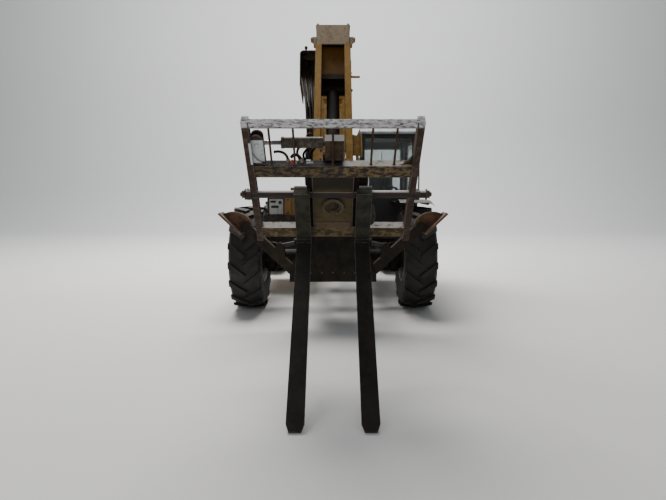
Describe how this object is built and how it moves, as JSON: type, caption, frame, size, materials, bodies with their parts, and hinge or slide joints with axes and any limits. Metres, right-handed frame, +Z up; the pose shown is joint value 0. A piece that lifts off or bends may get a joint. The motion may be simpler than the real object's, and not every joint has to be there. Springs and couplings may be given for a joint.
{
  "type": "telehandler",
  "caption": "Four-wheel telehandler: telescopic boom with a side-tilting fork carriage, offset cab, low engine housing, folding front outriggers",
  "frame": {"origin": "on the ground under the middle of the machine's box", "axes": "-Y is forward, +X the operator's left with the cab, +Z up"},
  "size_m": [2.5113, 7.93, 3.2487],
  "materials": {
    "yellow_paint": "weathered ochre yellow paint with rust and dust",
    "wheel_paint": "dusty cream paint",
    "tyre_rubber": "dusty worn rubber",
    "hose_rubber": "dusty black hose",
    "chassis_black": "black paint gone brown with rust and dirt",
    "cast_grey": "oily casting with dust",
    "cab_black": "black satin paint, dusty",
    "cab_glazing": "dusty tinted glass",
    "seat_vinyl": "worn black vinyl",
    "cab_plastic": "grained dark plastic",
    "carriage_rust": "flaking paint over rust",
    "rusty_steel": "rust-brown bare steel with polished wear",
    "cylinder_black": "black paint, greasy",
    "rod_chrome": "chromed rod, slightly dull"
  },
  "bodies": {
    "chassis": {"chassis_frame": "chassis_black", "counterweight": "chassis_black", "front_axle": "cast_grey", "rear_axle": "cast_grey", "engine_housing": "yellow_paint", "engine": "cast_grey", "fuel_tank": "yellow_paint", "gearbox": "cast_grey", "mudguard": "cab_black", "cab_frame": "cab_black", "cab_roof": "cab_black", "cab_glass": "cab_glazing", "seat_base": "cab_plastic", "seat": "seat_vinyl", "steering_column": "cab_plastic", "side_console": "cab_plastic"},
    "engine_hood": {"engine_hood": "yellow_paint"},
    "cab_door": {"cab_door": "cab_black", "door_glass": "cab_glazing"},
    "knuckle_front_left": {"knuckle_front_left": "cast_grey"},
    "wheel_front_left": {"wheel_front_left": "wheel_paint", "tyre_front_left": "tyre_rubber"},
    "knuckle_front_right": {"knuckle_front_right": "cast_grey"},
    "wheel_front_right": {"wheel_front_right": "wheel_paint", "tyre_front_right": "tyre_rubber"},
    "knuckle_rear_left": {"knuckle_rear_left": "cast_grey"},
    "wheel_rear_left": {"wheel_rear_left": "wheel_paint", "tyre_rear_left": "tyre_rubber"},
    "knuckle_rear_right": {"knuckle_rear_right": "cast_grey"},
    "wheel_rear_right": {"wheel_rear_right": "wheel_paint", "tyre_rear_right": "tyre_rubber"},
    "boom_outer": {"boom_outer": "yellow_paint"},
    "boom_middle": {"boom_middle": "yellow_paint"},
    "boom_nose": {"boom_inner": "yellow_paint", "gooseneck": "yellow_paint", "hose_guard": "yellow_paint", "neck_hoses": "hose_rubber"},
    "lift_barrel": {"lift_barrel": "cylinder_black"},
    "lift_rod": {"lift_rod": "rod_chrome"},
    "head": {"head": "yellow_paint", "head_hoses": "hose_rubber"},
    "tilt_barrel": {"tilt_barrel": "cylinder_black"},
    "tilt_rod": {"tilt_rod": "rod_chrome"},
    "carriage": {"carriage": "carriage_rust", "fork_shaft": "carriage_rust", "fork_left": "rusty_steel", "fork_right": "rusty_steel"},
    "side_tilt_barrel": {"side_tilt_barrel": "cylinder_black"},
    "side_tilt_rod": {"side_tilt_rod": "rod_chrome"},
    "outrigger_left": {"outrigger_left": "chassis_black"},
    "foot_left": {"foot_left": "rusty_steel"},
    "leg_barrel_left": {"leg_barrel_left": "cylinder_black"},
    "leg_rod_left": {"leg_rod_left": "rod_chrome"},
    "outrigger_right": {"outrigger_right": "chassis_black"},
    "foot_right": {"foot_right": "rusty_steel"},
    "leg_barrel_right": {"leg_barrel_right": "cylinder_black"},
    "leg_rod_right": {"leg_rod_right": "rod_chrome"}
  },
  "joints": [
    {"name": "steer_front_left", "type": "hinge", "parent": "chassis", "child": "knuckle_front_left", "pos_m": [0.8, -0.25, 0.65], "axis": [0, 0, 1], "range_deg": [-35, 35]},
    {"name": "roll_front_left", "type": "hinge", "parent": "knuckle_front_left", "child": "wheel_front_left", "pos_m": [1.055, -0.25, 0.65], "axis": [1, 0, 0], "continuous": true},
    {"name": "steer_front_right", "type": "hinge", "parent": "chassis", "child": "knuckle_front_right", "pos_m": [-0.8, -0.25, 0.65], "axis": [0, 0, 1], "range_deg": [-35.6, 35.6]},
    {"name": "roll_front_right", "type": "hinge", "parent": "knuckle_front_right", "child": "wheel_front_right", "pos_m": [-1.055, -0.25, 0.65], "axis": [1, 0, 0], "continuous": true},
    {"name": "steer_rear_left", "type": "hinge", "parent": "chassis", "child": "knuckle_rear_left", "pos_m": [0.8, 2.9, 0.65], "axis": [0, 0, 1], "range_deg": [-35.6, 35.6]},
    {"name": "roll_rear_left", "type": "hinge", "parent": "knuckle_rear_left", "child": "wheel_rear_left", "pos_m": [1.055, 2.9, 0.65], "axis": [1, 0, 0], "continuous": true},
    {"name": "steer_rear_right", "type": "hinge", "parent": "chassis", "child": "knuckle_rear_right", "pos_m": [-0.8, 2.9, 0.65], "axis": [0, 0, 1], "range_deg": [-35.6, 35.6]},
    {"name": "roll_rear_right", "type": "hinge", "parent": "knuckle_rear_right", "child": "wheel_rear_right", "pos_m": [-1.055, 2.9, 0.65], "axis": [1, 0, 0], "continuous": true},
    {"name": "door_hinge", "type": "hinge", "parent": "chassis", "child": "cab_door", "pos_m": [1.202, 1.597, 1.5], "axis": [0, 0, 1], "range_deg": [0, 85]},
    {"name": "hood_hinge", "type": "hinge", "parent": "chassis", "child": "engine_hood", "pos_m": [-0.378, 1.32, 0.943], "axis": [0, 1, 0], "range_deg": [0, 50]},
    {"name": "boom_lift", "type": "hinge", "parent": "chassis", "child": "boom_outer", "pos_m": [0, 3.35, 2.02], "axis": [-1, 0, 0], "range_deg": [-13, 55]},
    {"name": "boom_extend", "type": "slide", "parent": "boom_outer", "child": "boom_middle", "axis": [0, -0.9763, 0.2164], "range_m": [0, 2.6]},
    {"name": "nose_extend", "type": "slide", "parent": "boom_middle", "child": "boom_nose", "axis": [0, -0.9763, 0.2164], "range_m": [0, 2.6]},
    {"name": "lift_barrel_swing", "type": "hinge", "parent": "chassis", "child": "lift_barrel", "pos_m": [0, 3.23, 0.83], "axis": [1, 0, 0], "range_deg": [-22.62, 5.8]},
    {"name": "lift_rod_slide", "type": "slide", "parent": "lift_barrel", "child": "lift_rod", "axis": [0, -0.6338, 0.7735], "range_m": [-0.1654, 0.6805]},
    {"name": "head_tilt", "type": "hinge", "parent": "boom_nose", "child": "head", "pos_m": [0, -2.4, 1.49], "axis": [1, 0, 0], "range_deg": [-60, 30]},
    {"name": "tilt_barrel_swing", "type": "hinge", "parent": "boom_nose", "child": "tilt_barrel", "pos_m": [0, -1.6, 2.5], "axis": [1, 0, 0], "range_deg": [-3.52, 2.06]},
    {"name": "tilt_rod_slide", "type": "slide", "parent": "tilt_barrel", "child": "tilt_rod", "axis": [0, -0.7148, -0.6993], "range_m": [-0.183, 0.0945]},
    {"name": "side_tilt", "type": "hinge", "parent": "head", "child": "carriage", "pos_m": [0, -2.91377, 1.38564], "axis": [0, -0.7547, -0.6561], "range_deg": [-8, 8]},
    {"name": "side_barrel_swing", "type": "hinge", "parent": "head", "child": "side_tilt_barrel", "pos_m": [-0.03, -3.22324, 1.85597], "axis": [0, -0.7547, -0.6561], "range_deg": [-9.07, 9.07]},
    {"name": "side_rod_slide", "type": "slide", "parent": "side_tilt_barrel", "child": "side_tilt_rod", "axis": [-1, 0, 0], "range_m": [-0.0837, 0.0837]},
    {"name": "outrigger_left", "type": "hinge", "parent": "chassis", "child": "outrigger_left", "pos_m": [0.4, -1.335, 0.6], "axis": [0, 1, 0], "range_deg": [0, 85]},
    {"name": "foot_swing_left", "type": "hinge", "parent": "outrigger_left", "child": "foot_left", "pos_m": [0.95002, -1.335, 1.12013], "axis": [0, 1, 0], "range_deg": [-41.6, 0.6]},
    {"name": "leg_barrel_swing_left", "type": "hinge", "parent": "chassis", "child": "leg_barrel_left", "pos_m": [0.1, -1.335, 1], "axis": [0, -1, 0], "range_deg": [-30.61, 0.6]},
    {"name": "leg_rod_slide_left", "type": "slide", "parent": "leg_barrel_left", "child": "leg_rod_left", "axis": [0.9798, 0, -0.1999], "range_m": [-0.006, 0.3803]},
    {"name": "outrigger_right", "type": "hinge", "parent": "chassis", "child": "outrigger_right", "pos_m": [-0.4, -1.335, 0.6], "axis": [0, -1, 0], "range_deg": [0, 85]},
    {"name": "foot_swing_right", "type": "hinge", "parent": "outrigger_right", "child": "foot_right", "pos_m": [-0.95002, -1.335, 1.12013], "axis": [0, -1, 0], "range_deg": [-41.6, 0.6]},
    {"name": "leg_barrel_swing_right", "type": "hinge", "parent": "chassis", "child": "leg_barrel_right", "pos_m": [-0.1, -1.335, 1], "axis": [0, 1, 0], "range_deg": [-30.61, 0.6]},
    {"name": "leg_rod_slide_right", "type": "slide", "parent": "leg_barrel_right", "child": "leg_rod_right", "axis": [-0.9798, 0, -0.1999], "range_m": [-0.006, 0.3803]}
  ],
  "couplings": [
    {"joint": "steer_front_right", "follows": "steer_front_left", "ratio": 1},
    {"joint": "steer_rear_left", "follows": "steer_front_left", "ratio": -1},
    {"joint": "steer_rear_right", "follows": "steer_front_left", "ratio": -1},
    {"joint": "nose_extend", "follows": "boom_extend", "ratio": 1},
    {"joint": "lift_barrel_swing", "follows": "boom_lift", "ratio": -0.4004},
    {"joint": "lift_rod_slide", "follows": "boom_lift", "m_per_rad": 0.7027},
    {"joint": "tilt_barrel_swing", "follows": "head_tilt", "ratio": 0.0486},
    {"joint": "tilt_rod_slide", "follows": "head_tilt", "m_per_rad": 0.169},
    {"joint": "side_barrel_swing", "follows": "side_tilt", "ratio": 1.0594},
    {"joint": "side_rod_slide", "follows": "side_tilt", "m_per_rad": 0.5566},
    {"joint": "foot_swing_left", "follows": "outrigger_left", "ratio": -0.4824},
    {"joint": "leg_barrel_swing_left", "follows": "outrigger_left", "ratio": -0.3531},
    {"joint": "leg_rod_slide_left", "follows": "outrigger_left", "m_per_rad": 0.2523},
    {"joint": "foot_swing_right", "follows": "outrigger_right", "ratio": -0.4824},
    {"joint": "leg_barrel_swing_right", "follows": "outrigger_right", "ratio": -0.3531},
    {"joint": "leg_rod_slide_right", "follows": "outrigger_right", "m_per_rad": 0.2523}
  ]
}
